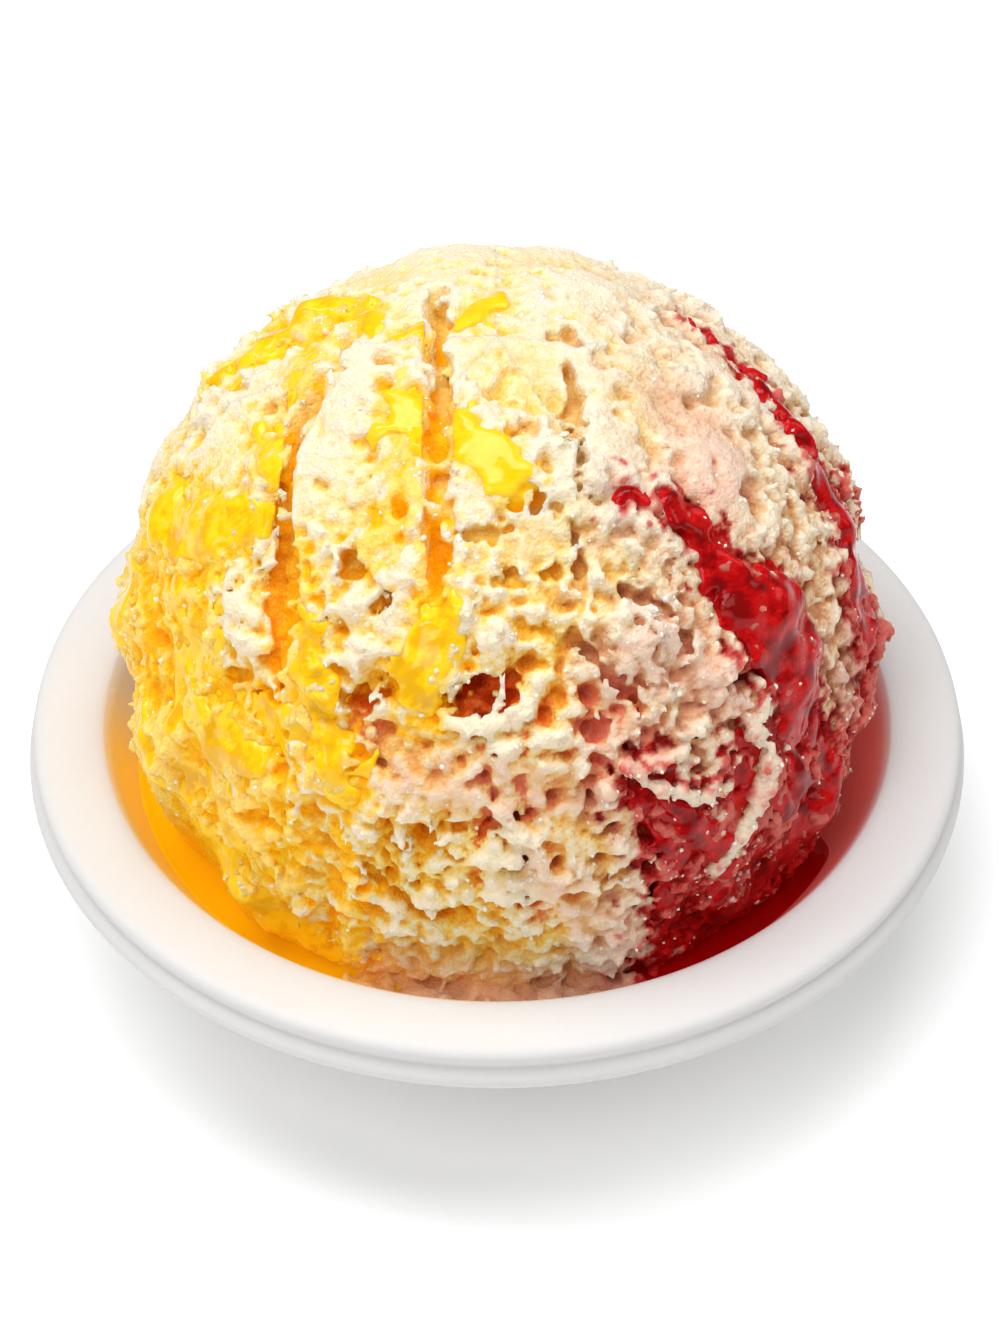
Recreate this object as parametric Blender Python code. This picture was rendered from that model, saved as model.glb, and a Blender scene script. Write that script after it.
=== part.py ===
"""A heaped ball of shaved ice in a moulded pulp bowl, with two pools of syrup in the gap between ball and bowl.

Metres, +Z up. The origin is the middle of the bowl's base, and -Y is the side that faces the eater.
"""

import math

import bmesh
import bpy
from mathutils import Vector

MM = 0.001

# Bowl: a pressed pulp bowl with a broad flat rim and a rolled lip.
RIM_HEIGHT = 42.0 * MM
RIM_RADIUS = 79.5 * MM
MOUTH_RADIUS = 66.5 * MM
MOUTH_HEIGHT = 41.0 * MM
FLOOR_RADIUS = 28.0 * MM
FLOOR_HEIGHT = 4.0 * MM
WALL_POWER = 0.55
WALL_THICKNESS = 2.2 * MM
FOOT_OUTER_RADIUS = 35.0 * MM
FOOT_INNER_RADIUS = 30.0 * MM
FOOT_RECESS = 1.5 * MM
BOWL_SEGMENTS = 64
WALL_STEPS = 8

# Ball: a superellipsoid, rounder above its middle and fuller below.
BALL_CENTRE_HEIGHT = 60.0 * MM
BALL_RADIUS = 61.3 * MM
BALL_RISE = 61.4 * MM
BALL_DROP = 55.7 * MM
UPPER_POWER = 2.09
LOWER_POWER = 2.3
BALL_SEGMENTS = 72
RING_SPACING = 6.0 * MM

# Relief of the ball: furrows cut across it, hollows torn in it, and soft lumps.
FURROWS = (-34.5 * MM, -9.0 * MM, 12.0 * MM)
FURROW_DEPTH = 3.4 * MM
FURROW_HALF_WIDTH = 2.4 * MM
FURROW_FOOT = 22.0 * MM
FURROW_FADE = 14.0 * MM
LUMP_HEIGHT = 0.9 * MM
# Lump waves as (rate along X, along Y, along Z, phase), in radians per metre and radians.
LUMP_WAVES = ((310.0, 120.0, 90.0, 0.4), (-150.0, 280.0, 170.0, 1.9), (90.0, -210.0, 330.0, 4.1))
# Hollows as (azimuth, elevation, radius, depth), in degrees and metres.
HOLLOWS = (
    (-92.0, 31.0, 8.0 * MM, 5.0 * MM),
    (-86.0, 3.0, 7.0 * MM, 4.5 * MM),
    (-63.0, 14.0, 9.0 * MM, 5.0 * MM),
    (-51.0, 9.0, 9.0 * MM, 4.5 * MM),
    (-112.0, 24.0, 7.0 * MM, 3.5 * MM),
    (-138.0, 16.0, 8.0 * MM, 3.5 * MM),
    (-160.0, 24.0, 8.0 * MM, 3.0 * MM),
    (-20.0, 14.0, 8.0 * MM, 3.0 * MM),
    (30.0, 22.0, 9.0 * MM, 4.0 * MM),
    (75.0, 8.0, 9.0 * MM, 4.0 * MM),
    (110.0, 30.0, 9.0 * MM, 4.0 * MM),
    (150.0, 12.0, 9.0 * MM, 4.0 * MM),
)
RELIEF_STARTS = 36.0 * MM
RELIEF_FULL = 48.0 * MM

# Syrup: two pools, each filling the gap between ball and wall over part of the way round.
# Azimuths are in degrees from +X. Each pool's surface falls between the two azimuths of its FALL.
GAP = 0.45 * MM
POOL_FLOOR = 6.0 * MM
POOL_LEVEL = 32.5 * MM
POOL_LOW_LEVEL = 24.0 * MM
POOL_STEP = 6.0
POOL_SIDE_STEPS = 8
FRONT = 276.0
MANGO_BACK = 96.0
MANGO_FALL = (150.0, 110.0)
CHERRY_BACK = 360.0 + 95.0
CHERRY_FALL = (332.0, 350.0)
POOL_APART = 0.4

BOWL_WHITE = (0.90, 0.89, 0.87)
ICE_CREAM = (0.93, 0.82, 0.62)
MANGO_GOLD = (0.93, 0.50, 0.02)
CHERRY_RED = (0.42, 0.004, 0.010)


def clear_scene():
    for thing in list(bpy.data.objects):
        bpy.data.objects.remove(thing, do_unlink=True)


def smooth_step(value, low, high):
    """0 at low and 1 at high, with a soft change between them."""
    share = min(1.0, max(0.0, (value - low) / (high - low)))
    return share * share * (3.0 - 2.0 * share)


def make_material(name, colour, roughness):
    material = bpy.data.materials.new(name)
    material.use_nodes = True
    shader = material.node_tree.nodes["Principled BSDF"]
    shader.inputs["Base Color"].default_value = (*colour, 1.0)
    shader.inputs["Roughness"].default_value = roughness
    shader.inputs["Metallic"].default_value = 0.0
    return material


def make_object(name, points, faces, material, crease_angle):
    """A closed mesh object from its points and faces, with its faces turned outwards."""
    shape = bmesh.new()
    corners = [shape.verts.new(point) for point in points]
    for face in faces:
        shape.faces.new([corners[index] for index in face])
    bmesh.ops.recalc_face_normals(shape, faces=shape.faces)
    mesh = bpy.data.meshes.new(name)
    shape.to_mesh(mesh)
    shape.free()
    mesh.materials.append(material)
    mesh.shade_smooth()
    mesh.set_sharp_from_angle(angle=math.radians(crease_angle))
    thing = bpy.data.objects.new(name, mesh)
    bpy.context.scene.collection.objects.link(thing)
    return thing


def revolve(profile, segments):
    """Points and faces of a profile turned round Z. The profile starts and ends on the axis."""
    rings = profile[1:-1]
    points = [(0.0, 0.0, profile[0][1])]
    for radius, height in rings:
        for step in range(segments):
            angle = 2.0 * math.pi * step / segments
            points.append((radius * math.cos(angle), radius * math.sin(angle), height))
    points.append((0.0, 0.0, profile[-1][1]))
    faces = []
    for step in range(segments):
        after = (step + 1) % segments
        faces.append((0, 1 + step, 1 + after))
        for ring in range(len(rings) - 1):
            here = 1 + ring * segments
            there = here + segments
            faces.append((here + step, there + step, there + after, here + after))
        last = 1 + (len(rings) - 1) * segments
        faces.append((last + after, last + step, len(points) - 1))
    return points, faces


def wall_radius(height):
    """The bowl's inner radius at a height between its floor and its mouth."""
    share = (height - FLOOR_HEIGHT) / (MOUTH_HEIGHT - FLOOR_HEIGHT)
    return FLOOR_RADIUS + (MOUTH_RADIUS - FLOOR_RADIUS) * max(share, 0.0) ** WALL_POWER


def inner_wall():
    """The wall from its floor up to its mouth, as (radius, height), denser near the floor's curve."""
    points = []
    for step in range(WALL_STEPS + 1):
        height = FLOOR_HEIGHT + (MOUTH_HEIGHT - FLOOR_HEIGHT) * (step / WALL_STEPS) ** 1.6
        points.append((wall_radius(height), height))
    return points


def outer_wall(inner):
    """The inner wall moved out by the wall's thickness, from the mouth down to the foot."""
    points = []
    for below, here, above in zip(inner[:-2], inner[1:-1], inner[2:]):
        along = Vector((above[0] - below[0], above[1] - below[1])).normalized()
        points.append((here[0] + along.y * WALL_THICKNESS, here[1] - along.x * WALL_THICKNESS))
    return [point for point in reversed(points) if point[1] > FOOT_RECESS]


def bowl_profile():
    inner = inner_wall()
    rim = [
        (MOUTH_RADIUS + 1.2 * MM, RIM_HEIGHT - 0.55 * MM),
        (MOUTH_RADIUS + 3.0 * MM, RIM_HEIGHT - 0.35 * MM),
        (RIM_RADIUS - 3.0 * MM, RIM_HEIGHT),
        (RIM_RADIUS - 1.3 * MM, RIM_HEIGHT - 0.6 * MM),
        (RIM_RADIUS - 0.6 * MM, RIM_HEIGHT - 1.8 * MM),
        (RIM_RADIUS - 0.8 * MM, RIM_HEIGHT - 3.6 * MM),
        (RIM_RADIUS, RIM_HEIGHT - 6.4 * MM),
        (RIM_RADIUS - 0.9 * MM, RIM_HEIGHT - 7.0 * MM),
        (RIM_RADIUS - 2.2 * MM, RIM_HEIGHT - 6.4 * MM),
        (RIM_RADIUS - 3.0 * MM, RIM_HEIGHT - 2.4 * MM),
        (MOUTH_RADIUS + 3.0 * MM, RIM_HEIGHT - 2.6 * MM),
    ]
    foot = [(FOOT_OUTER_RADIUS, 0.0), (FOOT_INNER_RADIUS, 0.0), (FOOT_INNER_RADIUS - 1.5 * MM, FOOT_RECESS)]
    axis_top = (0.0, FLOOR_HEIGHT)
    axis_bottom = (0.0, FOOT_RECESS)
    return [axis_top, *inner, *rim, *outer_wall(inner), *foot, axis_bottom]


def make_bowl():
    points, faces = revolve(bowl_profile(), BOWL_SEGMENTS)
    return make_object("bowl", points, faces, make_material("pulp", BOWL_WHITE, 0.75), 40.0)


def bare_radius(direction):
    """Distance from the ball's centre to its bare surface in a direction."""
    level = math.hypot(direction.x, direction.y)
    upright = direction.z >= 0.0
    half_height = BALL_RISE if upright else BALL_DROP
    power = UPPER_POWER if upright else LOWER_POWER
    reach = (level / BALL_RADIUS) ** power + (abs(direction.z) / half_height) ** power
    return reach ** (-1.0 / power)


def ball_radius_at(height):
    """The bare ball's radius at a height below its middle."""
    drop = (BALL_CENTRE_HEIGHT - height) / BALL_DROP
    return BALL_RADIUS * max(0.0, 1.0 - drop**LOWER_POWER) ** (1.0 / LOWER_POWER)


def direction_of(azimuth, elevation):
    turn, lift = math.radians(azimuth), math.radians(elevation)
    return Vector((math.cos(turn) * math.cos(lift), math.sin(turn) * math.cos(lift), math.sin(lift)))


def furrow_depth(point):
    """Depth of the furrows, which lie in planes across X and fade out towards the ball's middle."""
    across = min(abs(point.x - place) for place in FURROWS)
    if across >= FURROW_HALF_WIDTH:
        return 0.0
    fade = smooth_step(point.z, FURROW_FOOT, FURROW_FOOT + FURROW_FADE)
    return FURROW_DEPTH * fade * (1.0 - across / FURROW_HALF_WIDTH)


def hollow_depth(point):
    deepest = 0.0
    for azimuth, elevation, radius, depth in HOLLOWS:
        towards = direction_of(azimuth, elevation)
        centre = towards * bare_radius(towards)
        share = (point - centre).length / radius
        if share < 1.0:
            deepest = max(deepest, depth * (1.0 - share * share) ** 2)
    return deepest


def lump_height(point):
    total = 0.0
    for along_x, along_y, along_z, phase in LUMP_WAVES:
        total += math.sin(point.x * along_x + point.y * along_y + point.z * along_z + phase)
    return LUMP_HEIGHT * total / len(LUMP_WAVES)


def ball_point(direction):
    """The ball's surface in a direction from its centre. Below the syrup's level it is bare."""
    bare = direction * bare_radius(direction)
    height = bare.z + BALL_CENTRE_HEIGHT
    share = smooth_step(height, RELIEF_STARTS, RELIEF_FULL)
    relief = lump_height(bare) - furrow_depth(bare) - hollow_depth(bare)
    return bare + direction * (relief * share) + Vector((0.0, 0.0, BALL_CENTRE_HEIGHT))


def ring_places():
    """Places of the mesh's rings along X, with three rings to each furrow so that its walls are sharp."""
    places = set()
    for place in FURROWS:
        places.update((place - FURROW_HALF_WIDTH, place, place + FURROW_HALF_WIDTH))
    count = round(2.0 * BALL_RADIUS / RING_SPACING)
    clear_of_furrow = FURROW_HALF_WIDTH + 0.4 * RING_SPACING
    for step in range(1, count):
        place = -BALL_RADIUS * math.cos(math.pi * step / count)
        if all(abs(place - furrow) > clear_of_furrow for furrow in FURROWS):
            places.add(place)
    return sorted(places)


def make_ball():
    """A sphere with its poles on X, so that its rings run along the furrows."""
    points = [ball_point(Vector((-1.0, 0.0, 0.0)))]
    places = ring_places()
    for place in places:
        across = place / BALL_RADIUS
        reach = math.sqrt(1.0 - across * across)
        for step in range(BALL_SEGMENTS):
            angle = 2.0 * math.pi * step / BALL_SEGMENTS
            direction = Vector((across, reach * math.cos(angle), reach * math.sin(angle)))
            points.append(ball_point(direction))
    points.append(ball_point(Vector((1.0, 0.0, 0.0))))
    last = 1 + (len(places) - 1) * BALL_SEGMENTS
    faces = []
    for step in range(BALL_SEGMENTS):
        after = (step + 1) % BALL_SEGMENTS
        faces.append((0, 1 + step, 1 + after))
        for ring in range(len(places) - 1):
            here = 1 + ring * BALL_SEGMENTS
            there = here + BALL_SEGMENTS
            faces.append((here + step, there + step, there + after, here + after))
        faces.append((last + after, last + step, len(points) - 1))
    return make_object("ice_ball", points, faces, make_material("shaved_ice", ICE_CREAM, 0.6), 50.0)


def ball_side(level):
    """The ball's side from the pool's floor up to its level, as (radius, height), moved out by the gap."""
    low = math.atan2(BALL_CENTRE_HEIGHT - POOL_FLOOR, ball_radius_at(POOL_FLOOR))
    high = math.atan2(BALL_CENTRE_HEIGHT - level, ball_radius_at(level))
    points = []
    for step in range(POOL_SIDE_STEPS + 1):
        dip = low + (high - low) * step / POOL_SIDE_STEPS
        reach = bare_radius(Vector((math.cos(dip), 0.0, -math.sin(dip))))
        radius, drop = reach * math.cos(dip), reach * math.sin(dip)
        outwards = Vector(
            (
                (radius / BALL_RADIUS) ** (LOWER_POWER - 1.0) / BALL_RADIUS,
                -((drop / BALL_DROP) ** (LOWER_POWER - 1.0)) / BALL_DROP,
            )
        ).normalized()
        points.append((radius + GAP * outwards.x, BALL_CENTRE_HEIGHT - drop + GAP * outwards.y))
    return points


def wall_side(level):
    """The bowl's wall from the pool's level down to its floor, as (radius, height), moved in by the gap."""
    points = []
    for step in range(POOL_SIDE_STEPS + 1):
        height = POOL_FLOOR + (level - POOL_FLOOR) * (1.0 - step / POOL_SIDE_STEPS) ** 1.4
        radius = wall_radius(height)
        share = (height - FLOOR_HEIGHT) / (MOUTH_HEIGHT - FLOOR_HEIGHT)
        lean = (radius - FLOOR_RADIUS) * WALL_POWER / (share * (MOUTH_HEIGHT - FLOOR_HEIGHT))
        inwards = Vector((-1.0, lean)).normalized()
        points.append((radius + GAP * inwards.x, height + GAP * inwards.y))
    return points


def pool_section(azimuth, level):
    """One cross-section of a pool: up the ball's side and down the bowl's wall, level on top."""
    turn = math.radians(azimuth)
    outline = ball_side(level) + wall_side(level)
    tops = (POOL_SIDE_STEPS, POOL_SIDE_STEPS + 1)
    section = []
    for place, (radius, height) in enumerate(outline):
        top = level if place in tops else height
        section.append((radius * math.cos(turn), radius * math.sin(turn), top))
    return section


def make_pool(name, start, end, level_at, material):
    """A pool lofted through its cross-sections from one azimuth to another, closed at both ends."""
    stations = math.ceil((end - start) / POOL_STEP)
    points = []
    for step in range(stations + 1):
        azimuth = start + (end - start) * step / stations
        points += pool_section(azimuth, level_at(azimuth))
    side = 2 * (POOL_SIDE_STEPS + 1)
    faces = []
    for station in range(stations):
        here = station * side
        there = here + side
        for step in range(side):
            after = (step + 1) % side
            faces.append((here + step, there + step, there + after, here + after))
    for first in (0, stations * side):
        for step in range(POOL_SIDE_STEPS):
            mirror = side - 1 - step
            faces.append((first + step, first + step + 1, first + mirror - 1, first + mirror))
    return make_object(name, points, faces, material, 40.0)


def mango_level(azimuth):
    return POOL_LEVEL - (POOL_LEVEL - POOL_LOW_LEVEL) * (1.0 - smooth_step(azimuth, MANGO_FALL[1], MANGO_FALL[0]))


def cherry_level(azimuth):
    return POOL_LEVEL - (POOL_LEVEL - POOL_LOW_LEVEL) * smooth_step(azimuth, CHERRY_FALL[0], CHERRY_FALL[1])


def make_pools():
    """The mango pool fills the left and the back, the cherry pool the right. They stop just short of each other."""
    mango = make_material("mango_syrup", MANGO_GOLD, 0.12)
    cherry = make_material("cherry_syrup", CHERRY_RED, 0.10)
    make_pool("mango_pool", MANGO_BACK, FRONT - POOL_APART, mango_level, mango)
    make_pool("cherry_pool", FRONT + POOL_APART, CHERRY_BACK, cherry_level, cherry)


def main():
    clear_scene()
    make_bowl()
    make_ball()
    make_pools()


main()
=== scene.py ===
"""The looks of a ball of shaved ice in a pressed pulp bowl, with mango and cherry syrup over it.

Metres, +Z up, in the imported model's own frame. The ice and the syrup that clings to it are shaped in a
block of small cells, worked in millimetres, and then drawn as surfaces.
"""

import functools
import itertools
import math

import bpy
import numpy as np
import openvdb
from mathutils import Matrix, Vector


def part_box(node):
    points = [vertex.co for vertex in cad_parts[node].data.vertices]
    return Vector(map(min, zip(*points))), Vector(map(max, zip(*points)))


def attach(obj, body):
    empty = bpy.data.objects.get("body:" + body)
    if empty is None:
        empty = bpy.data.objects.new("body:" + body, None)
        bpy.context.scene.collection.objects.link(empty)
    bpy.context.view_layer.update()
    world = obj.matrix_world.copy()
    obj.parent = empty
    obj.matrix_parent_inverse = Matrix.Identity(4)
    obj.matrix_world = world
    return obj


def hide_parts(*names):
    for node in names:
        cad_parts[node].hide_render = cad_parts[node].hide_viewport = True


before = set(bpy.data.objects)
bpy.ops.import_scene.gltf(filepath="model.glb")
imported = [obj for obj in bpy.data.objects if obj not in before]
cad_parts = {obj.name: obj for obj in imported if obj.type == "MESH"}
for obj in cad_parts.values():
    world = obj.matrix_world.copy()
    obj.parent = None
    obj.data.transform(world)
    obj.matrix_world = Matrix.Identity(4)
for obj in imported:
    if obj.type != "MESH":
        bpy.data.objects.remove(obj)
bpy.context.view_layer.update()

MM = 0.001

# Sizes read from the frame, in millimetres.
BOWL_HIGH = np.array(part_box("bowl")[1]) / MM
BALL_LOW, BALL_HIGH = (np.array(corner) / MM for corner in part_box("ice_ball"))
POOL_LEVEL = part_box("cherry_pool")[1].z / MM
RIM_HEIGHT = BOWL_HIGH[2]
RIM_RADIUS = BOWL_HIGH[0]
BALL_RADIUS = (BALL_HIGH[0] - BALL_LOW[0]) / 2.0
BALL_BOTTOM = BALL_LOW[2]
BALL_TOP = BALL_HIGH[2]

# The ball is fuller below its middle than above it.
BALL_DROP = 55.7
MIDDLE = BALL_BOTTOM + BALL_DROP
BALL_RISE = BALL_TOP - MIDDLE
UPPER_POWER = 2.09
LOWER_POWER = 2.3

# The bowl, as the frame has it.
MOUTH_RADIUS = RIM_RADIUS - 13.0
MOUTH_HEIGHT = RIM_HEIGHT - 1.0
FLOOR_RADIUS = 28.0
FLOOR_HEIGHT = 4.0
WALL_POWER = 0.55
WALL_THICKNESS = 2.2
FOOT_OUTER_RADIUS = 35.0
FOOT_INNER_RADIUS = 30.0
FOOT_RECESS = 1.5

# The size of a cell, and how many cells across the tile of noise is that repeats through the block.
CELL = 0.6
TILE = 108
# The block reaches this many cells to each side, and in mm from its base to this far over the ball.
HALF_BLOCK = 108
BLOCK_BASE = 3.0
BLOCK_MARGIN = 3.0
# Cells this near the ball's surface are worked out. All others hold one value outside and one inside.
SHELL = 9.0
OUTSIDE = 2.0
INSIDE = -4.0
# How much of its change with depth the relief keeps.
UNDERCUT = 0.3


# ---------------- materials

class Number:
    """A number that varies over a surface. Sums, differences and products of it add their Math nodes."""

    def __init__(self, finish, socket):
        self.finish = finish
        self.socket = socket

    def maths(self, operation, *terms):
        settings = {"operation": operation}
        return self.finish.node("ShaderNodeMath", settings, dict(enumerate(terms)))

    def __add__(self, other):
        return self.maths("ADD", self, other)

    def __sub__(self, other):
        return self.maths("SUBTRACT", self, other)

    def __mul__(self, other):
        return self.maths("MULTIPLY", self, other)

    def __rsub__(self, other):
        return self.maths("SUBTRACT", other, self)

    __radd__ = __add__
    __rmul__ = __mul__


class Finish:
    """A material as it is made up: a Principled BSDF, and the nodes that feed it."""

    def __init__(self, name, **constants):
        self.material = bpy.data.materials.new(name)
        self.material.use_nodes = True
        self.tree = self.material.node_tree
        self.shader = self.tree.nodes["Principled BSDF"]
        for socket, value in constants.items():
            self.shader.inputs[socket.replace("_", " ")].default_value = value
        self.place = self.node("ShaderNodeTexCoord", {}, {}, "Object")

    def node(self, kind, settings, values, output=0):
        """Adds a node, sets it up, feeds its sockets, and returns what it gives."""
        made = self.tree.nodes.new(kind)
        for name, value in settings.items():
            if name == "stops":
                self.set_stops(made.color_ramp, value)
            else:
                setattr(made, name, value)
        for name, value in values.items():
            self.feed(made.inputs[name], value)
        return Number(self, made.outputs[output])

    def feed(self, socket, value):
        if isinstance(value, Number):
            self.tree.links.new(value.socket, socket)
        else:
            socket.default_value = value

    def set_stops(self, ramp, stops):
        for place, colour in stops[len(ramp.elements):]:
            ramp.elements.new(place)
        for element, (place, colour) in zip(ramp.elements, stops):
            element.position = place
            element.color = (*colour, 1.0)

    def noise(self, size, detail=2.0, roughness=0.5):
        """Noise from 0 to 1 with lumps of about size millimetres."""
        values = {
            "Vector": self.place,
            "Scale": 1.0 / (size * MM),
            "Detail": detail,
            "Roughness": roughness,
        }
        return self.node("ShaderNodeTexNoise", {}, values, "Fac")

    def attribute(self, name):
        return self.node("ShaderNodeAttribute", {"attribute_name": name}, {}, "Fac")

    def between(self, value, low, high):
        """0 where value is at low, 1 where it is at high, and a soft change between them."""
        settings = {"interpolation_type": "SMOOTHSTEP"}
        values = {"Value": value, "From Min": low, "From Max": high}
        return self.node("ShaderNodeMapRange", settings, values, "Result")

    def colour(self, share, first, second):
        """A mix of two colours. Each is a colour in numbers or another mix."""
        ends = [end if isinstance(end, Number) else (*end, 1.0) for end in (first, second)]
        values = {"Factor": share, 6: ends[0], 7: ends[1]}
        return self.node("ShaderNodeMix", {"data_type": "RGBA"}, values, 2)

    def ramp(self, value, *stops):
        """A colour that runs through stops of (value, colour)."""
        return self.node("ShaderNodeValToRGB", {"stops": stops}, {"Fac": value})

    def bump(self, height, distance, strength=1.0, under=None):
        values = {"Height": height, "Distance": distance * MM, "Strength": strength}
        if under is not None:
            values["Normal"] = under
        return self.node("ShaderNodeBump", {}, values)

    def finish(self, **sockets):
        for name, value in sockets.items():
            self.feed(self.shader.inputs[name.replace("_", " ")], value)
        return self.material


def srgb(red, green, blue):
    """A colour given as 0 to 255 on a screen, in the linear numbers that a shader takes."""
    return tuple(((part / 255.0 + 0.055) / 1.055) ** 2.4 for part in (red, green, blue))


# Plain ice from its high places down to its deepest hollows, at the left and at the right. Towards the
# hollows the colours darken, partly as syrup soaked into them and partly as painted shade.
PLAIN_STOPS = (0.15, 0.42, 0.64, 0.84, 1.0)
GOLDEN = (
    srgb(246, 229, 202), srgb(248, 224, 168), srgb(247, 210, 114), srgb(245, 184, 44), srgb(243, 162, 16),
)
TANNED = (
    srgb(243, 227, 204), srgb(236, 211, 176), srgb(224, 184, 138), srgb(210, 148, 98), srgb(200, 122, 76),
)
PINK = srgb(232, 162, 146)
PULP = srgb(221, 220, 219)
# Painted glow: an emission colour that stands in for the light which thick mango syrup passes on from within.
MANGO_GLOW = srgb(255, 186, 20)
DARK = (0.0, 0.0, 0.0)


def shaved_ice_finish():
    """Packed ice. It is ivory where it stands out, and takes up the syrup's colour in its hollows, where it
    is also darkened as painted shade. The mango-soaked ice has a painted glow in its emission.
    """
    ice = Finish(
        "shaved_ice",
        Subsurface_Weight=0.55,
        Subsurface_Radius=(1.0, 0.7, 0.35),
        Subsurface_Scale=0.003,
        Specular_IOR_Level=0.25,
        Emission_Strength=0.1,
        IOR=1.31,
    )
    hollow = ice.attribute("hollow")
    mango = ice.attribute("mango")
    cherry = ice.attribute("cherry")
    wet = ice.attribute("wet")
    small = ice.noise(0.3, 2.0, 0.6)
    lumps = ice.noise(0.9, 2.0, 0.6)
    patch = ice.noise(3.6, 3.0, 0.65)
    crystals = ice.node("ShaderNodeTexVoronoi", {}, {"Vector": ice.place, "Scale": 1500.0}, "Distance")
    # Painted shade in part: sunk follows the hollow mark, and every ramp below darkens towards it, partly as
    # syrup soaked into the hollows.
    sunk = hollow + (lumps - 0.5) * 0.22 + (patch - 0.5) * 0.3 + (crystals - 0.4) * 0.15
    golden = ice.ramp(sunk, *zip(PLAIN_STOPS, GOLDEN))
    tanned = ice.ramp(sunk, *zip(PLAIN_STOPS, TANNED))
    rosy = ice.ramp(sunk, (0.5, srgb(236, 186, 146)), (0.8, srgb(228, 122, 50)), (1.0, srgb(216, 74, 14)))
    yellow = ice.ramp(sunk, (0.1, srgb(255, 208, 76)), (0.45, srgb(254, 194, 16)), (1.0, srgb(250, 168, 4)))
    red = ice.ramp(sunk, (0.1, srgb(200, 30, 26)), (0.36, srgb(176, 6, 8)), (1.0, srgb(112, 1, 3)))
    body = ice.colour(ice.attribute("gold"), tanned, golden)
    body = ice.colour(ice.attribute("rosy") * ice.between(sunk, 0.62, 0.86), body, rosy)
    body = ice.colour(ice.attribute("pink") * (patch * 1.3), body, PINK)
    slush = ice.colour(patch, srgb(244, 196, 154), srgb(232, 164, 136))
    body = ice.colour(ice.attribute("slush"), body, slush)
    body = ice.colour(mango, body, yellow)
    body = ice.colour(cherry, body, red)
    relief = ice.bump(lumps, 0.45, 0.85)
    relief = ice.bump(1.0 - crystals, 0.3, 0.7, relief)
    relief = ice.bump(small, 0.12, 0.7, relief)
    rough = 0.62 - wet * 0.35 - (small - 0.5) * 0.3
    # Painted glow: mango-soaked ice emits a little of MANGO_GLOW.
    glow = ice.colour(mango, DARK, MANGO_GLOW)
    return ice.finish(Base_Color=body, Roughness=rough, Emission_Color=glow, Normal=relief)


def syrup_finish(name, pale, full, stained, glow, coat):
    """Clear gel over ice. It is pale where it is thin, and takes its full colour where it is thick. Its
    emission, in the glow colour, is a painted glow.
    """
    syrup = Finish(
        name,
        Subsurface_Weight=0.25,
        Subsurface_Radius=(1.0, 0.5, 0.2),
        Subsurface_Scale=0.003,
        Specular_IOR_Level=0.2,
        # Painted glow: a faint emission in the glow colour.
        Emission_Color=(*glow, 1.0),
        Emission_Strength=0.07,
        Coat_Weight=coat,
        Coat_Roughness=0.05,
        Roughness=0.1,
        IOR=1.45,
    )
    depth = syrup.attribute("depth")
    cloudy = syrup.noise(2.5, 2.0, 0.5)
    body = syrup.colour(syrup.between(depth + (cloudy - 0.5) * 0.5, 0.0, 1.0), pale, full)
    body = syrup.colour(syrup.between(depth, 0.9, 2.2), body, stained)
    relief = syrup.bump(syrup.noise(1.6, 2.0, 0.5), 0.12, 0.6)
    return syrup.finish(Base_Color=body, Normal=relief)


def pulp_finish():
    """Pressed fibre. Where each syrup stands behind the wall, the wall is tinted, partly as syrup stain and
    partly as painted light passed through the syrup, and it has a painted glow in its emission.
    """
    pulp = Finish("pulp", Emission_Strength=0.16, Subsurface_Weight=0.0, IOR=1.45)
    fibre = pulp.noise(0.35, 4.0, 0.65)
    felt = pulp.noise(1.6, 3.0, 0.6)
    yellow = pulp.attribute("yellow_glow")
    red = pulp.attribute("red_glow")
    body = pulp.colour(pulp.between(felt, 0.3, 0.75), PULP, srgb(221, 219, 217))
    # Tint near each syrup: partly syrup stain, partly painted light passed through the syrup.
    body = pulp.colour(yellow, body, srgb(244, 210, 90))
    body = pulp.colour(red, body, srgb(232, 92, 84))
    # Painted glow where each syrup stands behind the wall.
    glow = pulp.colour(yellow, DARK, srgb(232, 190, 66))
    glow = pulp.colour(red, glow, srgb(220, 70, 60))
    relief = pulp.bump(felt, 0.25, 0.35)
    relief = pulp.bump(fibre, 0.06, 0.6, relief)
    rough = 0.78 - (fibre - 0.5) * 0.2
    return pulp.finish(Base_Color=body, Emission_Color=glow, Roughness=rough, Normal=relief)


def clear_grain_finish():
    """Hard, glossy grains of clear ice, made as pale beads with a little of the syrup's colour."""
    clear = Finish("clear_ice", Coat_Weight=0.6, Roughness=0.08, IOR=1.31)
    glint = clear.noise(0.7, 1.0)
    body = clear.ramp(glint, (0.3, srgb(226, 210, 180)), (0.6, srgb(252, 248, 238)))
    body = clear.colour(clear.attribute("mango") * 0.45, body, srgb(246, 206, 90))
    body = clear.colour(clear.attribute("cherry") * 0.6, body, srgb(214, 60, 54))
    return clear.finish(Base_Color=body)


# ---------------- meshes

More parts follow.
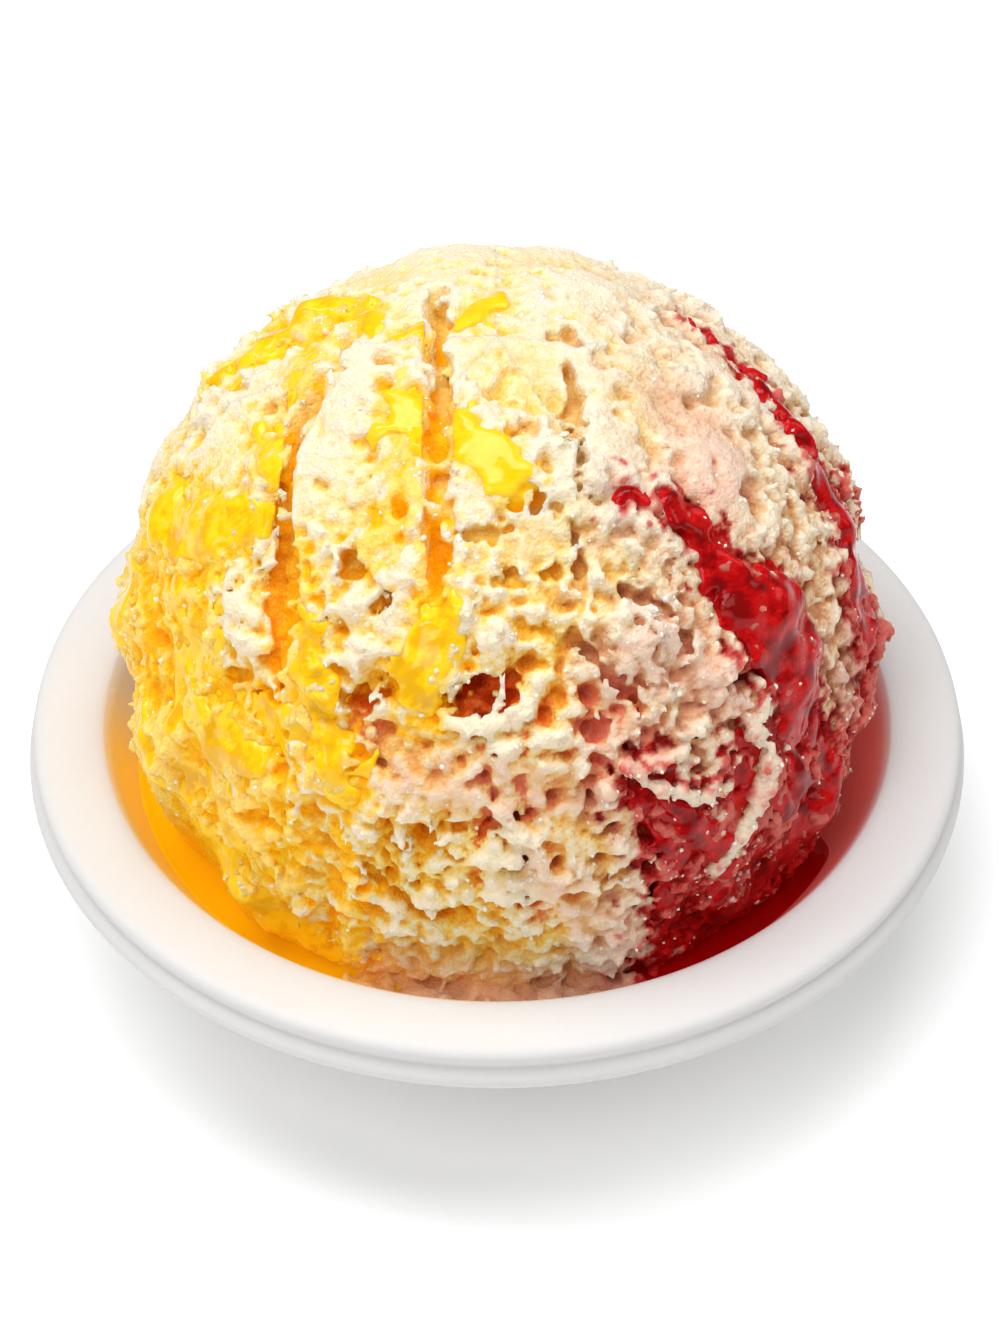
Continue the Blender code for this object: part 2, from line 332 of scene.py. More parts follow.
def make_piece(name, points, faces, material, replaced=(), marks=None, normals=None):
    """A piece from its points in millimetres and its faces. Marks are numbers kept at its points."""
    mesh = bpy.data.meshes.new(name)
    points = np.asarray(points, np.float32) * MM
    faces = np.asarray(faces, np.int32)
    sides = faces.shape[1]
    mesh.vertices.add(len(points))
    mesh.vertices.foreach_set("co", points.ravel())
    mesh.loops.add(faces.size)
    mesh.loops.foreach_set("vertex_index", faces.ravel())
    mesh.polygons.add(len(faces))
    mesh.polygons.foreach_set("loop_start", np.arange(0, faces.size, sides, dtype=np.int32))
    mesh.update(calc_edges=True)
    mesh.validate()
    mesh.shade_smooth()
    for mark, values in (marks or {}).items():
        layer = mesh.attributes.new(mark, "FLOAT", "POINT")
        layer.data.foreach_set("value", np.asarray(values, np.float32))
    if normals is not None:
        mesh.normals_split_custom_set_from_vertices(normals)
    mesh.materials.append(material)
    piece = bpy.data.objects.new(name, mesh)
    bpy.context.scene.collection.objects.link(piece)
    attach(piece, "root")
    if replaced:
        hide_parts(*replaced)
    return piece


def point_normals(points, faces):
    """The outward normal at each point, from the faces round it."""
    first = points[faces[:, 2]] - points[faces[:, 0]]
    second = points[faces[:, 3]] - points[faces[:, 1]]
    across = np.cross(first, second)
    normals = np.zeros_like(points)
    for corner in range(4):
        for axis in range(3):
            normals[:, axis] += np.bincount(faces[:, corner], across[:, axis], len(points))
    return normals / np.maximum(np.linalg.norm(normals, axis=1, keepdims=True), 1e-9)


def smooth_step(value, low, high):
    share = np.clip((value - low) / (high - low), 0.0, 1.0)
    return share * share * (3.0 - 2.0 * share)


# ---------------- noise

@functools.lru_cache(maxsize=None)
def cloud(size, seed, stretch=(1.0, 1.0, 1.0), octaves=1):
    """A tile of smooth noise with a spread of 1. Its lumps are size mm across, times stretch on each axis."""
    rng = np.random.default_rng(seed)
    total = 0.0
    for octave in range(octaves):
        reach = 2.0 * size / 2**octave
        x, y = (np.fft.fftfreq(TILE, CELL) * reach * share for share in stretch[:2])
        z = np.fft.rfftfreq(TILE, CELL) * reach * stretch[2]
        rate = x[:, None, None] ** 2 + y[None, :, None] ** 2 + z[None, None, :] ** 2
        waves = np.fft.rfftn(rng.standard_normal((TILE, TILE, TILE)))
        layer = np.fft.irfftn(waves * rate * np.exp(-rate), s=(TILE, TILE, TILE))
        total = total + layer / layer.std() * 0.5**octave
    return (total / total.std()).astype(np.float32)


@functools.lru_cache(maxsize=None)
def packed_grains(size, seed):
    """A tile of packed grains about size mm across: high in the middle of each and low between them."""
    rng = np.random.default_rng(seed)
    count = round(TILE * CELL / size)
    place = (np.arange(TILE) + 0.5) * count / TILE
    home = np.floor(place).astype(int)
    seats = rng.uniform(0.0, 1.0, (3, count, count, count))
    bulk = rng.uniform(-0.3, 0.3, (count, count, count))
    best = np.full((TILE, TILE, TILE), 9.0)
    for shift in itertools.product((-1, 0, 1), repeat=3):
        near = [home + step for step in shift]
        index = np.ix_(*(axis % count for axis in near))
        x, y, z = (axis - place for axis in near)
        across = (x[:, None, None] + seats[0][index]) ** 2
        across += (y[None, :, None] + seats[1][index]) ** 2
        across += (z[None, None, :] + seats[2][index]) ** 2
        best = np.minimum(best, np.sqrt(across) + bulk[index])
    return ((best.mean() - best) / best.std()).astype(np.float32)


def read_cloud(tile, points):
    """The noise at points, in mm, blended between its cells."""
    lows, parts = [], []
    for axis in range(3):
        place = points[:, axis] / np.float32(CELL)
        low = np.floor(place)
        parts.append((place - low).astype(np.float32))
        lows.append(low.astype(np.int32))
    flat = tile.ravel()
    total = np.zeros(len(points), np.float32)
    for corner in itertools.product((0, 1), repeat=3):
        x, y, z = ((low + side) % TILE for low, side in zip(lows, corner))
        weight = np.ones(len(points), np.float32)
        for part, side in zip(parts, corner):
            weight *= part if side else 1.0 - part
        total += flat[(x * TILE + y) * TILE + z] * weight
    return total


# ---------------- directions on the ball

# Degrees between the places of a chart, and a distance in mm that stands for far away.
STEP = 0.5
FAR = 60.0
AZIMUTHS = np.radians(np.arange(0.0, 360.0, STEP))
ELEVATIONS = np.radians(np.arange(-90.0, 90.0 + STEP, STEP))


def direction_of(azimuth, elevation):
    """Unit vectors for azimuths and elevations in radians."""
    flat = np.cos(elevation)
    parts = (np.cos(azimuth) * flat, np.sin(azimuth) * flat, np.sin(elevation) + 0.0 * azimuth)
    return np.stack(np.broadcast_arrays(*parts), axis=-1)


def directions(points):
    """The azimuth and elevation of points from the ball's middle, in radians."""
    level = np.hypot(points[:, 0], points[:, 1])
    return np.arctan2(points[:, 1], points[:, 0]), np.arctan2(points[:, 2] - MIDDLE, level)


CHART = direction_of(AZIMUTHS[:, None], ELEVATIONS[None, :]).astype(np.float32) * BALL_RADIUS


def painted(strokes):
    """A chart of how far each direction is inside the nearest stroke, in mm; it is below zero outside.

    A stroke is a list of (azimuth, elevation, width), in degrees and mm.
    """
    best = np.full(CHART.shape[:2], -FAR, np.float32)
    for stroke in strokes:
        turns = np.array(stroke, float)
        places = direction_of(np.radians(turns[:, 0]), np.radians(turns[:, 1])) * BALL_RADIUS
        ends = list(zip(places, places[1:], turns[:, 2], turns[1:, 2]))
        ends = ends or [(places[0], places[0], turns[0, 2], turns[0, 2])]
        for start, end, width, end_width in ends:
            along = end - start
            length = max(along @ along, 1e-6)
            share = np.clip((CHART - start) @ along / length, 0.0, 1.0)
            gap = np.linalg.norm(CHART - start - share[..., None] * along, axis=2)
            best = np.maximum(best, (width + (end_width - width) * share) / 2.0 - gap)
    return best


def read_chart(chart, azimuth, elevation):
    """The chart's values in given directions, in radians, blended between its places."""
    across = (np.degrees(azimuth) % 360.0) / STEP
    up = (np.degrees(elevation) + 90.0) / STEP
    left = np.floor(across).astype(np.int64)
    low = np.clip(np.floor(up).astype(np.int64), 0, chart.shape[1] - 2)
    right_share = across - left
    high_share = up - low
    left, right = left % chart.shape[0], (left + 1) % chart.shape[0]
    lower = chart[left, low] * (1.0 - right_share) + chart[right, low] * right_share
    upper = chart[left, low + 1] * (1.0 - right_share) + chart[right, low + 1] * right_share
    return lower * (1.0 - high_share) + upper * high_share


# Where the two syrups cling to the ball, as strokes of (azimuth, elevation, width).
MANGO_GEL = [
    [(166, 42, 3), (158, 50, 5), (150, 57, 6), (146, 63, 6), (160, 71, 5)],
    [(172, 77, 5), (150, 83, 6), (95, 82, 6), (88, 80, 3)],
    [(-132, 68, 3), (-136, 66, 4)],
    [(-138, 71, 6), (-121, 70, 9), (-114, 71, 8)],
    [(-107, 70, 8), (-95, 68, 9), (-87, 64, 8)],
    [(-168, 52, 4), (-159, 53, 7), (-150, 51, 5)],
    [(-170, 30, 7), (-160, 34, 10), (-152, 42, 9), (-146, 47, 5)],
    [(-172, 33, 5), (-173, 18, 6), (-170, 8, 5)],
    [(-99, 45, 5), (-101, 40, 7), (-103, 33, 7)],
    [(-125, 38, 3), (-122, 31, 4), (-118, 27, 3)],
    [(-118, 23, 4), (-115, 17, 5), (-112, 14, 4)],
    [(-146, 17, 6), (-138, 10, 7), (-128, 14, 5)],
    [(-156, 4, 5), (-147, -5, 8), (-138, -12, 10), (-127, -19, 8), (-118, -24, 5)],
]
CHERRY_GEL = [
    [(28, 56, 1.4), (20, 51, 2.4), (13, 46, 2.0)],
    [(10, 48, 2.6), (5, 45, 4), (1, 41, 5), (-1, 36, 6), (-2, 30, 9), (-5, 24, 9), (-10, 18, 8)],
    [(-55, 57, 2.5), (-46, 53, 5), (-42, 47, 5.5), (-43, 41, 6), (-41, 35, 10), (-36, 31, 14)],
    [(-36, 28, 16), (-34, 20, 14), (-37, 12, 11)],
    [(-12, 22, 5), (-14, 10, 5)],
    [(-28, -2, 6), (-32, -12, 9)],
    [(-64, 12, 4), (-58, 4, 6), (-54, -4, 6)],
    [(-40, 6, 6), (-37, -3, 8), (-40, -14, 9)],
    [(-54, -12, 6), (-50, -20, 8)],
]
# Where syrup fills the hollows and leaves the lumps of ice standing out of it.
MANGO_FILL = [
    [(-172, 30, 16), (-170, 12, 18), (-162, -6, 22), (-150, -18, 26), (-134, -26, 22), (-120, -29, 10)],
    [(-160, 36, 18), (-150, 24, 18), (-142, 8, 18), (-130, -8, 10)],
    [(-134, 16, 12), (-122, 24, 8), (-114, 18, 8)],
    [(166, 44, 8), (158, 52, 9), (148, 62, 10), (-176, 60, 6)],
    [(-124, 70, 10), (-110, 70, 10)],
    [(-104, 48, 5), (-103, 36, 9)],
]
CHERRY_FILL = [
    [(-66, 16, 8), (-60, 6, 14), (-56, -6, 20), (-58, -18, 18)],
    [(-48, 12, 14), (-44, 2, 20), (-42, -10, 26), (-46, -20, 20)],
    [(-34, 14, 8), (-34, 0, 14), (-32, -12, 20)],
    [(-6, 28, 12), (-10, 12, 12), (-12, -4, 14)],
]
MANGO_SOAK = [
    [(-170, 26, 14), (-160, 16, 14), (-150, 4, 16), (-140, -8, 18), (-128, -18, 14), (-118, -24, 7)],
    [(-160, 38, 14), (-152, 30, 12)],
    [(-126, 17, 12), (-125, 2, 14), (-128, -16, 16)],
    [(-114, 6, 3), (-112, -4, 6), (-114, -18, 8)],
    [(-166, 30, 16), (-150, 22, 14), (-138, 16, 13), (-128, 22, 8)],
    [(-146, 14, 12), (-128, 12, 10)],
    [(-134, 46, 5), (-129, 34, 8), (-122, 28, 8)],
    [(-118, 24, 8), (-113, 14, 8)],
    [(-106, 58, 4), (-102, 46, 6), (-102, 30, 8)],
    [(-122, 68, 6), (-116, 56, 7), (-118, 50, 6)],
    [(-140, 72, 8), (-95, 68, 9), (-86, 62, 8)],
    [(170, 10, 16), (178, -8, 22), (-160, -18, 24), (-138, -26, 22), (-122, -30, 12)],
    [(150, 50, 5), (140, 30, 8), (150, 6, 10)],
]
CHERRY_SOAK = [
    [(-68, 18, 8), (-62, 8, 17), (-60, -6, 18), (-62, -18, 13)],
    [(-48, 10, 18), (-48, -6, 26), (-50, -20, 22)],
    [(-34, 14, 10), (-34, -2, 24), (-38, -16, 22)],
    [(-6, 26, 14), (-15, 10, 20), (-20, -6, 24), (-28, -18, 22)],
    [(20, 51, 3), (8, 47, 5), (-1, 38, 9), (-3, 28, 14)],
    [(-44, 52, 7), (-42, 42, 8), (-38, 30, 17), (-38, 18, 12)],
    [(8, 20, 9), (14, 0, 12), (6, -18, 18)],
]
PINK_WASH = [
    [(-17, 60, 10), (-24, 53, 14), (-36, 52, 9)],
    [(-68, 33, 10), (-72, 28, 10), (-66, 22, 10)],
    [(-114, 20, 9), (-98, 20, 12), (-84, 18, 10)],
    [(-78, 14, 9), (-70, 18, 9)],
    [(-112, -18, 9), (-90, -22, 12), (-70, -22, 11)],
    [(-60, 34, 14), (-52, 24, 12)],
    [(-84, 6, 6), (-78, -4, 8), (-72, -12, 8)],
]
GRAIN_PATCHES = [
    [(142, 56, 10), (160, 70, 12), (80, 82, 12), (43, 73, 10)],
    [(-150, 62, 8), (-120, 72, 10)],
    [(-56, 42, 8), (-60, 38, 6)],
    [(15, 50, 8)],
    [(-112, 50, 6), (-92, 54, 8)],
    [(-60, 2, 12), (-50, -10, 14)],
    [(-80, 30, 10)],
]
# Ice at the side that the cherry syrup has left paler.
SPARED = [[(-26, 27, 5), (-23, 17, 8), (-22, 6, 7)]]
ROSY_HOLES = [
    [(-98, 34, 10), (-88, 30, 14), (-88, 6, 14), (-84, -6, 8)],
    [(-112, 26, 8)],
    [(-72, 26, 16), (-66, 10, 12)],
]
# Where the ice is pressed smooth, and where it is torn open.
PRESSED = [
    [(90, 66, 50), (0, 86, 26)],
    [(-135, 74, 16), (-118, 62, 10)],
    [(-95, 70, 12), (-84, 56, 9)],
    [(-150, 60, 12), (-140, 52, 8)],
    [(40, 30, 30), (100, 20, 40), (160, 20, 30)],
    [(20, 52, 14), (-20, 56, 16), (-32, 48, 8)],
    [(-44, 66, 12), (-10, 68, 12)],
    [(-178, 58, 16), (-172, 44, 10)],
    [(-176, -8, 16), (-160, -18, 20), (-140, -26, 18), (-122, -31, 10)],
]
TORN = [
    [(-120, 30, 20), (-100, 34, 22), (-84, 34, 18)],
    [(-70, 12, 20), (-52, 8, 24), (-44, 0, 20)],
    [(-135, 10, 24), (-110, 6, 22), (-90, 4, 18)],
]


# ---------------- the block of cells

class Shell:
    """The cells of the block that lie near the ball's surface, and where each of them is."""

    def __init__(self):
        flat = np.arange(-HALF_BLOCK, HALF_BLOCK + 1) * CELL
        tall = np.arange(round(BLOCK_BASE / CELL), round((BALL_TOP + BLOCK_MARGIN) / CELL)) * CELL
        self.origin = np.array([flat[0], flat[0], tall[0]])
        self.shape = (len(flat), len(flat), len(tall))
        x, y, z = flat[:, None, None], flat[None, :, None], tall[None, None, :]
        level = np.sqrt(x * x + y * y) + 0.0 * z
        proud = proudness(level, z - MIDDLE)
        self.near = np.abs(proud) < SHELL
        self.inner = proud < 0.0
        self.proud = proud[self.near].astype(np.float32)
        cells = np.nonzero(self.near)
        self.points = np.stack([flat[cells[0]], flat[cells[1]], tall[cells[2]]], axis=1).astype(np.float32)
        start = np.round(self.origin / CELL).astype(int)
        places = [(cell + first) % TILE for cell, first in zip(cells, start)]
        self.tile_place = np.ravel_multi_index(places, (TILE, TILE, TILE))
        centre = np.array([0.0, 0.0, MIDDLE], np.float32)
        reach = np.linalg.norm(self.points - centre, axis=1)
        drawn_in = 1.0 - (1.0 - UNDERCUT) * self.proud / reach
        self.flattened = (self.points - centre) * drawn_in[:, None] + centre
        self.azimuth, self.elevation = directions(self.points)

    def cloud(self, tile):
        return tile.ravel()[self.tile_place]

    def relief(self, tile):
        """Noise that changes little with depth, so that it makes hills and hollows and few overhangs."""
        return read_cloud(tile, self.flattened)

    def chart(self, chart):
        return read_chart(chart, self.azimuth, self.elevation)

    def whole(self, field):
        """The field over the whole block, from its values near the ball's surface."""
        block = np.where(self.inner, np.float32(INSIDE), np.float32(OUTSIDE))
        block[self.near] = np.clip(field, INSIDE, OUTSIDE)
        return block

    def read(self, block, points):
        """A block's values at points, from the nearest cell."""
        index = np.round((points - self.origin) / CELL).astype(int)
        index = np.clip(index, 0, np.array(self.shape) - 1)
        return block[index[:, 0], index[:, 1], index[:, 2]]


def proudness(level, height):
    """How far a place stands out of the bare ball, in mm. Level and height are from the ball's middle."""
    reach = np.sqrt(level * level + height * height) + 1e-6
    upright = height >= 0.0
    power = np.where(upright, UPPER_POWER, LOWER_POWER)
    half_height = np.where(upright, BALL_RISE, BALL_DROP)
    span = (level / reach / BALL_RADIUS) ** power + (np.abs(height) / reach / half_height) ** power
    return reach - span ** (-1.0 / power)


def surface_of(shell, block):
    """The surface where a block passes zero: four-sided faces that look outwards, and points in mm."""
    grid = openvdb.FloatGrid(float(OUTSIDE))
    grid.copyFromArray(block)
    points, faces = grid.convertToQuads(isovalue=0.0)
    return faces[:, ::-1].astype(np.int64), points * CELL + shell.origin


def used_only(faces, *values):
    """Faces numbered anew over the points that they use, then each set of values at those points."""
    used, places = np.unique(faces, return_inverse=True)
    return [places.reshape(faces.shape), *(value[used] for value in values)]


def linked_parts(count, faces):
    """A label for each point. Points that faces join have the same one."""
    label = np.arange(count)
    ends = np.concatenate([faces[:, [0, 1]], faces[:, [1, 2]], faces[:, [2, 3]]])
    while True:
        lowest = label[ends].min(axis=1)
        found = label.copy()
        np.minimum.at(found, label[ends[:, 0]], lowest)
        np.minimum.at(found, label[ends[:, 1]], lowest)
        found = found[found]
        if (found == label).all():
            return label
        label = found


def keep_large(smallest, faces, points, *values):
    """Drops the loose bits of a surface that have fewer points than smallest."""
    label = linked_parts(len(points), faces)
    kept = np.bincount(label, minlength=len(points))[label] >= smallest
    return used_only(faces[kept[faces[:, 0]]], points, *values)


def spread_out(block, cells):
    """A block averaged over a cube that reaches this many cells each way."""
    span = 2 * cells + 1
    for axis in range(3):
        total = np.cumsum(np.moveaxis(block, axis, 0), axis=0, dtype=np.float32)
        before = np.repeat(total[:1] * 0.0, cells + 1, 0)
        after = np.repeat(total[-1:], cells, 0)
        total = np.concatenate([before, total, after])
        block = np.moveaxis((total[span:] - total[:-span]) / span, 0, axis)
    return block


# ---------------- the ice

# The slush at the front: the azimuth of its middle, and how far it reaches to each side, in degrees.
SLUSH_MIDDLE = -90.0
SLUSH_HALF_TURN = 24.0

# Furrows that run from front to back, as (place in X, lean, half width, stroke).
FURROW_DEPTH = 5.6
FURROW_LEFT = [
    (-178, 66, 4), (-165, 60, 8), (-156, 54, 9), (-145, 47, 9), (-137, 41, 9), (-132, 32, 7), (-128, 25, 4),
]
FURROW_MIDDLE = [(124, 75, 7), (180, 82, 8), (-124, 75, 8), (-107, 60, 8), (-103, 50, 7), (-102, 46, 3)]
FURROWS = (
    (-34.6, 0.2, 2.4, FURROW_LEFT),
    (-9.0, 0.0, 2.1, FURROW_MIDDLE),
)
# Cracks and grooves, as (depth, stroke).
GROOVES = (
    (3.0, [(-134, -8, 2.2), (-124, -16, 3.0), (-114, -23, 2.4)]),
    (2.6, [(-106, 57, 1.2), (-95, 55, 2.2), (-84, 57, 1.4)]),
    (2.4, [(-90, 49, 1.2), (-80, 50, 2.0), (-72, 48, 1.0)]),
    (2.6, [(-128, 20, 2.2), (-118, 22, 2.8), (-108, 20, 1.6)]),
    (3.2, [(-20, 79, 1.2), (-41, 75, 2.2), (-52, 70, 1.4)]),
    (3.2, [(-70, 56, 1.2), (-71, 51, 2.0), (-72, 47, 1.0)]),
    (2.4, [(-58, 67, 1.0), (-64, 63, 2.0), (-67, 59, 1.0)]),
    (2.6, [(-152, 24, 2.2), (-142, 22, 2.6), (-134, 25, 1.6)]),
    (2.4, [(-64, 46, 1.4), (-58, 40, 2.2), (-55, 33, 1.6)]),
    (2.6, [(-76, 40, 1.6), (-70, 34, 2.2), (-66, 28, 1.6)]),
    (3.0, [(-110, 0, 2.0), (-102, -6, 2.4), (-95, -7, 1.6)]),
    (3.4, [(-136, 44, 3.2), (-131, 36, 3.4), (-127, 26, 2.4), (-125, 16, 1.6)]),
)
# Single holes as (azimuth, elevation, radius, depth of the middle).
HOLES = (
    (-95, 32, 3.6, 2.4), (-91, 29, 3.4, 2.4), (-89, 34, 2.6, 2.2), (-88, 12, 2.0, 1.8),
    (-87, 6, 2.4, 2.0), (-86, 0, 2.0, 1.8), (-112, 29, 2.8, 2.0), (-108, 32, 2.0, 1.6),
    (-66, 13, 2.8, 2.0), (-60, 9, 3.2, 2.4), (-52, 10, 4.2, 3.0), (-46, 2, 3.6, 2.4),
    (-84, 60, 1.8, 1.2), (-50, 73, 2.2, 1.5), (-62, 66, 2.0, 1.6), (5, 79, 2.2, 1.5),
    (-80, 61, 2.2, 1.6), (-74, 59, 1.6, 1.2), (-130, 22, 2.8, 2.0), (-66, -6, 2.4, 1.8),
    (-74, 27, 2.2, 1.6), (-121, 47, 2.2, 1.6), (-112, 44, 1.8, 1.4), (-144, 33, 2.4, 1.8),
    (-96, 12, 1.8, 1.4), (-105, 8, 2.0, 1.6),
)
# Strands of ice across the holes, as lists of (azimuth, elevation, height over the ball), with a thickness.
STRANDS = (
    (1.35, [(-48, 18, 0.2), (-46, 13, 1.3), (-48, 7, 1.6), (-52, 1, 1.2), (-56, -4, 0.2)]),
    (1.1, [(-70, 20, 0.0), (-65, 15, 0.9), (-59, 11, 1.0), (-54, 10, 0.0)]),
    (1.2, [(-98, 29, -0.5), (-92, 28, 0.2), (-86, 29, -0.4)]),
    (1.2, [(-90, 16, -0.4), (-85, 10, 0.3), (-83, 3, 0.0)]),
    (1.2, [(-132, 2, 0.0), (-124, -4, 0.7), (-120, -11, 0.2)]),
)


def ball_place(azimuth, elevation, height=0.0):
    """The place on the ball in a direction in degrees, raised by a height."""
    towards = direction_of(np.radians(azimuth), np.radians(elevation))
    reach = -proudness(np.hypot(towards[0], towards[1]) * 1e-3, towards[2] * 1e-3) + 1e-3
    return towards * (reach + height) + np.array([0.0, 0.0, MIDDLE])


def route_gap(points, route):
    """How far points are from the nearest part of a route over the ball, in mm."""
    places = [ball_place(*stop) for stop in route]
    best = np.full(len(points), FAR, np.float32)
    for start, end in zip(places, places[1:]):
        along = end - start
        share = np.clip((points - start) @ along / (along @ along), 0.0, 1.0)
        best = np.minimum(best, np.linalg.norm(points - start - share[:, None] * along, axis=1))
    return best


def furrow_gap(points, place, lean):
    """How far points are to the right of a furrow's middle plane, which leans to the right as it rises."""
    return points[:, 0] - place - lean * (points[:, 2] - MIDDLE - 30.0)


def turn_from_slush(azimuth):
    """How far azimuths in radians are turned from the middle of the slush, in degrees."""
    return (np.degrees(azimuth) - SLUSH_MIDDLE + 180.0) % 360.0 - 180.0


def front_slush(shell):
    """A shelf of wet slush at the front, between the ball and the wall of the bowl."""
    turn = np.abs(turn_from_slush(shell.azimuth))
    height = shell.points[:, 2]
    top = POOL_LEVEL + 0.9 + 0.5 * shell.cloud(cloud(2.6, 14))
    side = np.hypot(shell.points[:, 0], shell.points[:, 1]) - wall_radius(height) - 0.4
    ends = (turn - SLUSH_HALF_TURN - 1.6 * shell.cloud(cloud(2.3, 6))) * 0.8
    return np.maximum.reduce([height - top, side, ends, POOL_LEVEL - 4.5 - height])


def carve_ice(shell):
    """The ice as a field near the ball's surface: below zero inside the ice, about 1 for each mm outside."""
    torn = smooth_step(shell.chart(painted(TORN)), -9.0, 3.0)
    pressed = smooth_step(shell.chart(painted(PRESSED)) + 1.5 * shell.cloud(cloud(6.0, 21)), -4.0, 3.0)
    height = shell.points[:, 2]
    sunk = 1.0 - smooth_step(height, POOL_LEVEL - 2.0, POOL_LEVEL + 9.0)
    loose = (1.0 - pressed) * (1.0 - 0.7 * sunk)
    proud = shell.proud + 0.7 * shell.cloud(cloud(14.0, 3)) + 0.5 * loose * shell.relief(cloud(6.0, 4))
    ragged = shell.relief(cloud(2.3, 6))
    firm = 0.85 * shell.relief(cloud(3.8, 5, (0.95, 0.95, 1.15)))
    firm += 0.55 * ragged + 0.22 * shell.cloud(cloud(1.3, 7))
    limit = -0.85 - 0.65 * pressed + 0.35 * torn - 0.5 * sunk + 0.35 * shell.cloud(cloud(11.0, 13))
    open_by = (limit - firm).astype(np.float32)
    field = proud + 1.35 * smooth_step(open_by, -1.2, 0.7) + 1.4 * np.maximum(open_by - 0.5, 0.0) - 0.3
    wander = shell.cloud(cloud(5.0, 8))
    width = shell.cloud(cloud(3.0, 9))
    for place, lean, half_width, stroke in FURROWS:
        across = np.abs(furrow_gap(shell.points, place, lean) + 0.7 * wander)
        inside = smooth_step(shell.chart(painted([stroke])), 0.0, 3.0)
        taper = smooth_step(height, MIDDLE + 10.0, MIDDLE + 46.0)
        field = field + 0.8 * inside * np.exp(-((across / 3.4) ** 2))
        wide = half_width * (1.0 + 0.4 * width) * (0.45 + 0.55 * taper)
        field = np.maximum(field, np.minimum(wide - across, proud + FURROW_DEPTH * inside - 0.6))
    for depth, stroke in GROOVES:
        margin = shell.chart(painted([stroke]))
        field = np.maximum(field, np.minimum(margin + 0.5 * ragged, proud + depth))
    for azimuth, elevation, radius, depth in HOLES:
        gap = np.linalg.norm(shell.points - ball_place(azimuth, elevation, -depth), axis=1)
        field = np.maximum(field, radius * (1.0 + 0.28 * ragged) - gap)
    for thickness, route in STRANDS:
        field = np.minimum(field, route_gap(shell.points, route) - thickness * (1.0 + 0.12 * ragged))
    field = np.minimum(field, front_slush(shell))
    masses = shell.relief(packed_grains(3.0, 10))
    grains = shell.cloud(packed_grains(1.5, 11))
    crumbs = shell.cloud(cloud(0.9, 12))
    field = field - (0.26 * loose + 0.08) * masses - (0.24 * loose + 0.1) * grains
    field = field + (0.13 * loose + 0.07) * crumbs
    return field, proud


def ice_marks(shell, block, points):
    """What the ice's finish needs to know at each point."""
    azimuth, elevation = directions(points)
    ragged = read_cloud(cloud(2.2, 31, octaves=2), points)

    def margin(strokes):
        return read_chart(painted(strokes), azimuth, elevation)

    def soaked(strokes, unevenness, edge):
        """From 0 to 1, how far strokes of syrup have soaked the ice, with a ragged edge."""
        return smooth_step(margin(strokes) + unevenness * ragged, -edge, edge)

    # The hollow mark is an occlusion-like measure of how crowded by ice each point is. The finish uses it
    # partly for syrup soaked into the hollows and partly as painted shade.
    solid = (block < 0.0).astype(np.float32)
    crowded = shell.read(spread_out(solid, 2), points) + shell.read(spread_out(solid, 5), points)
    depth = -proudness(np.hypot(points[:, 0], points[:, 1]), points[:, 2] - MIDDLE)
    sheltered = crowded + 0.16 * np.clip(depth, -2.0, 5.0)
    shares = np.linspace(0.0, 1.0, 65)
    hollow = np.interp(sheltered, np.quantile(sheltered, shares), shares)
    hollow *= 1.0 - 0.3 * smooth_step(points[:, 2], MIDDLE + 34.0, MIDDLE + 54.0)
    mango = soaked(MANGO_SOAK + MANGO_GEL + MANGO_FILL, 1.6, 1.2)
    cherry = soaked(CHERRY_SOAK + CHERRY_GEL, 2.2, 1.2)
    for thickness, route in STRANDS:
        cherry = cherry * smooth_step(route_gap(points, route), thickness * 1.1, thickness * 1.8)
    cherry = cherry * (1.0 - 0.6 * soaked(SPARED, 2.0, 2.5))
    pink = soaked(PINK_WASH, 1.0, 5.0)
    near_cherry = smooth_step(margin(CHERRY_SOAK + CHERRY_GEL), -9.0, 1.0)
    side = points[:, 0] + 4.0 * read_cloud(cloud(6.0, 33), points)
    gold = 1.0 - smooth_step(side, 0.0, 26.0)
    low = 1.0 - smooth_step(points[:, 2], POOL_LEVEL + 1.0, POOL_LEVEL + 14.0)
    uneven = read_cloud(cloud(4.0, 34), points)
    slush = smooth_step(points[:, 2] - 1.2 * uneven, POOL_LEVEL + 7.0, POOL_LEVEL - 1.0)
    turn = turn_from_slush(azimuth)
    to_left = smooth_step(turn + 2.0 * uneven, -SLUSH_HALF_TURN + 12.0, -SLUSH_HALF_TURN)
    to_right = smooth_step(turn + 2.0 * uneven, SLUSH_HALF_TURN - 8.0, SLUSH_HALF_TURN + 2.0)
    mango = np.maximum(mango, 0.5 * slush * to_left)
    cherry = np.maximum(cherry, 0.9 * slush * to_right)
    slush = 0.85 * slush * smooth_step(np.abs(turn), SLUSH_HALF_TURN + 6.0, SLUSH_HALF_TURN - 6.0)
    mango = mango * (0.8 + 0.5 * smooth_step(hollow, 0.3, 0.8) + 0.5 * low)
    return {
        "hollow": np.clip(hollow, 0.0, 1.0),
        "mango": np.clip(mango, 0.0, 1.0),
        "cherry": np.clip(cherry * (0.8 + 0.5 * hollow + 0.3 * low), 0.0, 1.0),
        "pink": np.clip(0.55 * pink + 0.25 * near_cherry, 0.0, 0.8),
        "rosy": smooth_step(margin(ROSY_HOLES), -3.0, 3.0),
        "gold": np.clip(gold, 0.0, 1.0),
        "slush": slush,
        "wet": np.clip(low + 0.5 * mango + 0.7 * cherry, 0.0, 1.0),
    }


# Loose bits of ice and of gel with fewer points than these are left out.
SMALLEST_MASS = 20000
SMALLEST_RUN = 150

